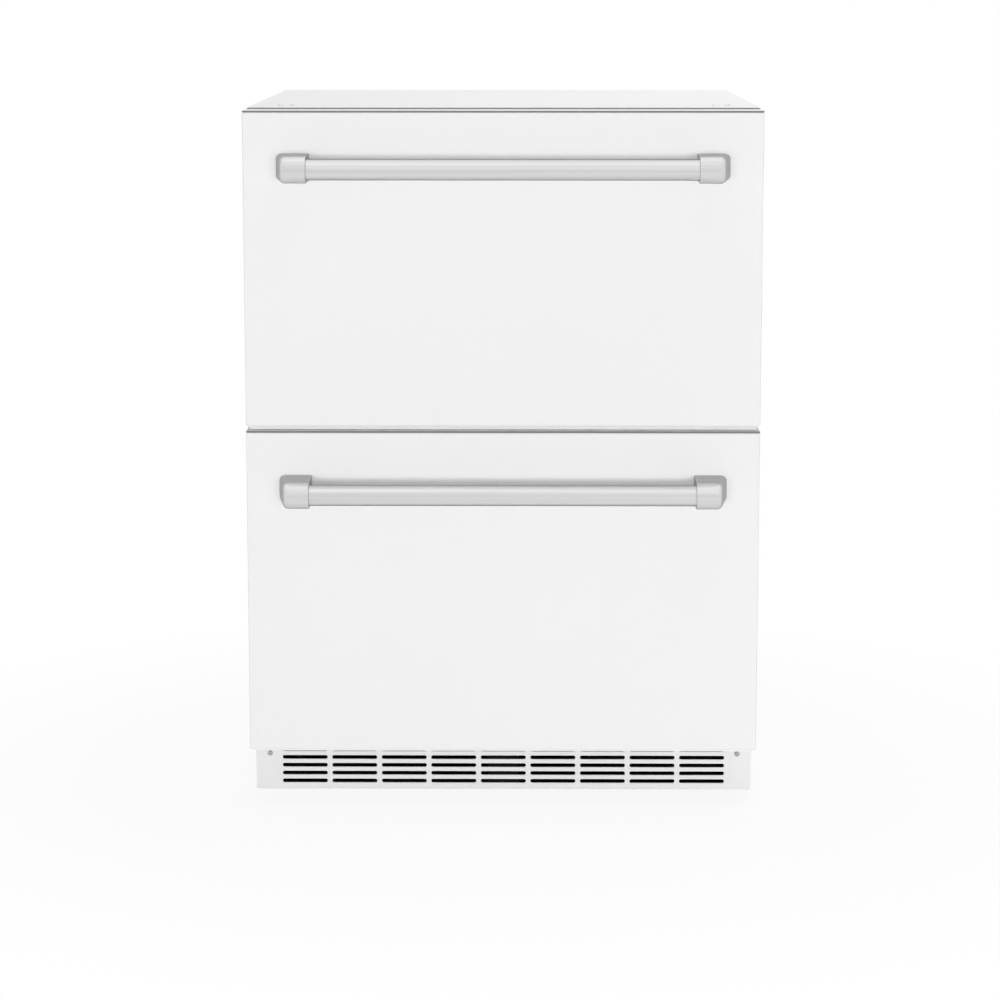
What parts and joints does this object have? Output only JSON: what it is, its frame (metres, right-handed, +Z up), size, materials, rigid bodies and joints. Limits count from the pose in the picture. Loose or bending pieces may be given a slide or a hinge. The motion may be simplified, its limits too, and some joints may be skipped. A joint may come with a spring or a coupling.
{
  "type": "under-counter drawer refrigerator",
  "caption": "Built-in under-counter refrigerator with stacked white drawer fronts, steel bar handles on D-shaped brackets and a slotted toe grille.",
  "frame": {"origin": "on the floor under the middle of the overall box", "axes": "+Z up, drawers open towards -Y, +X to the right seen from the front"},
  "size_m": [0.594, 0.664, 0.8402],
  "materials": {
    "white_enamel": "matte",
    "zinc_steel": "satin",
    "foam": "matte",
    "white_liner": "satin",
    "stainless": "satin",
    "seal_grey": "matte",
    "bin_plastic": "satin",
    "black_plastic": "matte",
    "lens_white": "gloss",
    "copper": "satin",
    "aluminium": "satin",
    "compressor_black": "satin",
    "black_rubber": "matte"
  },
  "bodies": {
    "cabinet": {"base_tray": "compressor_black", "cabinet_rails": "zinc_steel", "cabinet_shell": "white_enamel", "casing_screws": "zinc_steel", "center_mullion": "white_liner", "compressor_grommets": "black_rubber", "compressor_plate": "zinc_steel", "compressor_shell": "compressor_black", "compressor_terminal_box": "black_plastic", "condenser_fan_frame": "black_plastic", "condenser_fan_motor": "zinc_steel", "condenser_fins": "aluminium", "condenser_tube": "copper", "control_panel": "black_plastic", "cord_gland": "black_plastic", "deck_panel": "zinc_steel", "discharge_line": "copper", "drain_pan": "black_plastic", "evaporator_cover": "white_liner", "evaporator_fan_motor": "zinc_steel", "evaporator_fins": "aluminium", "evaporator_tube": "aluminium", "filter_drier": "copper", "inner_liner": "white_liner", "insulation_foam": "foam", "light_lens": "lens_white", "machine_cover": "zinc_steel", "rear_panel": "zinc_steel", "suction_line": "copper", "toe_grille": "white_enamel"},
    "upper_drawer": {"upper_front_skin": "white_enamel", "upper_edge_strip": "stainless", "upper_front_core": "foam", "upper_inner_panel": "white_liner", "upper_gasket": "seal_grey", "upper_handle_bar": "stainless", "upper_handle_bracket_left": "stainless", "upper_handle_bracket_right": "stainless", "upper_drawer_rails": "zinc_steel", "upper_bin_frame": "zinc_steel", "upper_bin": "bin_plastic"},
    "lower_drawer": {"lower_front_skin": "white_enamel", "lower_edge_strip": "stainless", "lower_front_core": "foam", "lower_inner_panel": "white_liner", "lower_gasket": "seal_grey", "lower_handle_bar": "stainless", "lower_handle_bracket_left": "stainless", "lower_handle_bracket_right": "stainless", "lower_drawer_rails": "zinc_steel", "lower_bin_frame": "zinc_steel", "lower_bin": "bin_plastic"},
    "upper_slides": {"upper_middle_rails": "zinc_steel"},
    "lower_slides": {"lower_middle_rails": "zinc_steel"},
    "condenser_fan": {"condenser_fan_rotor": "black_plastic"},
    "evaporator_fan": {"evaporator_fan_rotor": "black_plastic"},
    "foot_front_left": {"foot_front_left": "black_plastic"},
    "foot_front_right": {"foot_front_right": "black_plastic"},
    "foot_rear_left": {"foot_rear_left": "black_plastic"},
    "foot_rear_right": {"foot_rear_right": "black_plastic"}
  },
  "joints": [
    {"name": "upper_drawer_slide", "type": "slide", "parent": "cabinet", "child": "upper_drawer", "axis": [0, -1, 0], "range_m": [0, 0.4]},
    {"name": "lower_drawer_slide", "type": "slide", "parent": "cabinet", "child": "lower_drawer", "axis": [0, -1, 0], "range_m": [0, 0.4]},
    {"name": "upper_middle_slide", "type": "slide", "parent": "cabinet", "child": "upper_slides", "axis": [0, -1, 0], "range_m": [0, 0.2]},
    {"name": "lower_middle_slide", "type": "slide", "parent": "cabinet", "child": "lower_slides", "axis": [0, -1, 0], "range_m": [0, 0.2]},
    {"name": "condenser_fan_spin", "type": "hinge", "parent": "cabinet", "child": "condenser_fan", "pos_m": [-0.0334, 0.2295, 0.126], "axis": [1, 0, 0], "continuous": true},
    {"name": "evaporator_fan_spin", "type": "hinge", "parent": "cabinet", "child": "evaporator_fan", "pos_m": [0, 0.255, 0.64007], "axis": [0, -1, 0], "continuous": true},
    {"name": "foot_front_left_level", "type": "slide", "parent": "cabinet", "child": "foot_front_left", "axis": [0, 0, -1], "range_m": [0, 0.03]},
    {"name": "foot_front_right_level", "type": "slide", "parent": "cabinet", "child": "foot_front_right", "axis": [0, 0, -1], "range_m": [0, 0.03]},
    {"name": "foot_rear_left_level", "type": "slide", "parent": "cabinet", "child": "foot_rear_left", "axis": [0, 0, -1], "range_m": [0, 0.03]},
    {"name": "foot_rear_right_level", "type": "slide", "parent": "cabinet", "child": "foot_rear_right", "axis": [0, 0, -1], "range_m": [0, 0.03]}
  ],
  "couplings": [
    {"joint": "upper_middle_slide", "follows": "upper_drawer_slide", "ratio": 0.5},
    {"joint": "lower_middle_slide", "follows": "lower_drawer_slide", "ratio": 0.5}
  ]
}
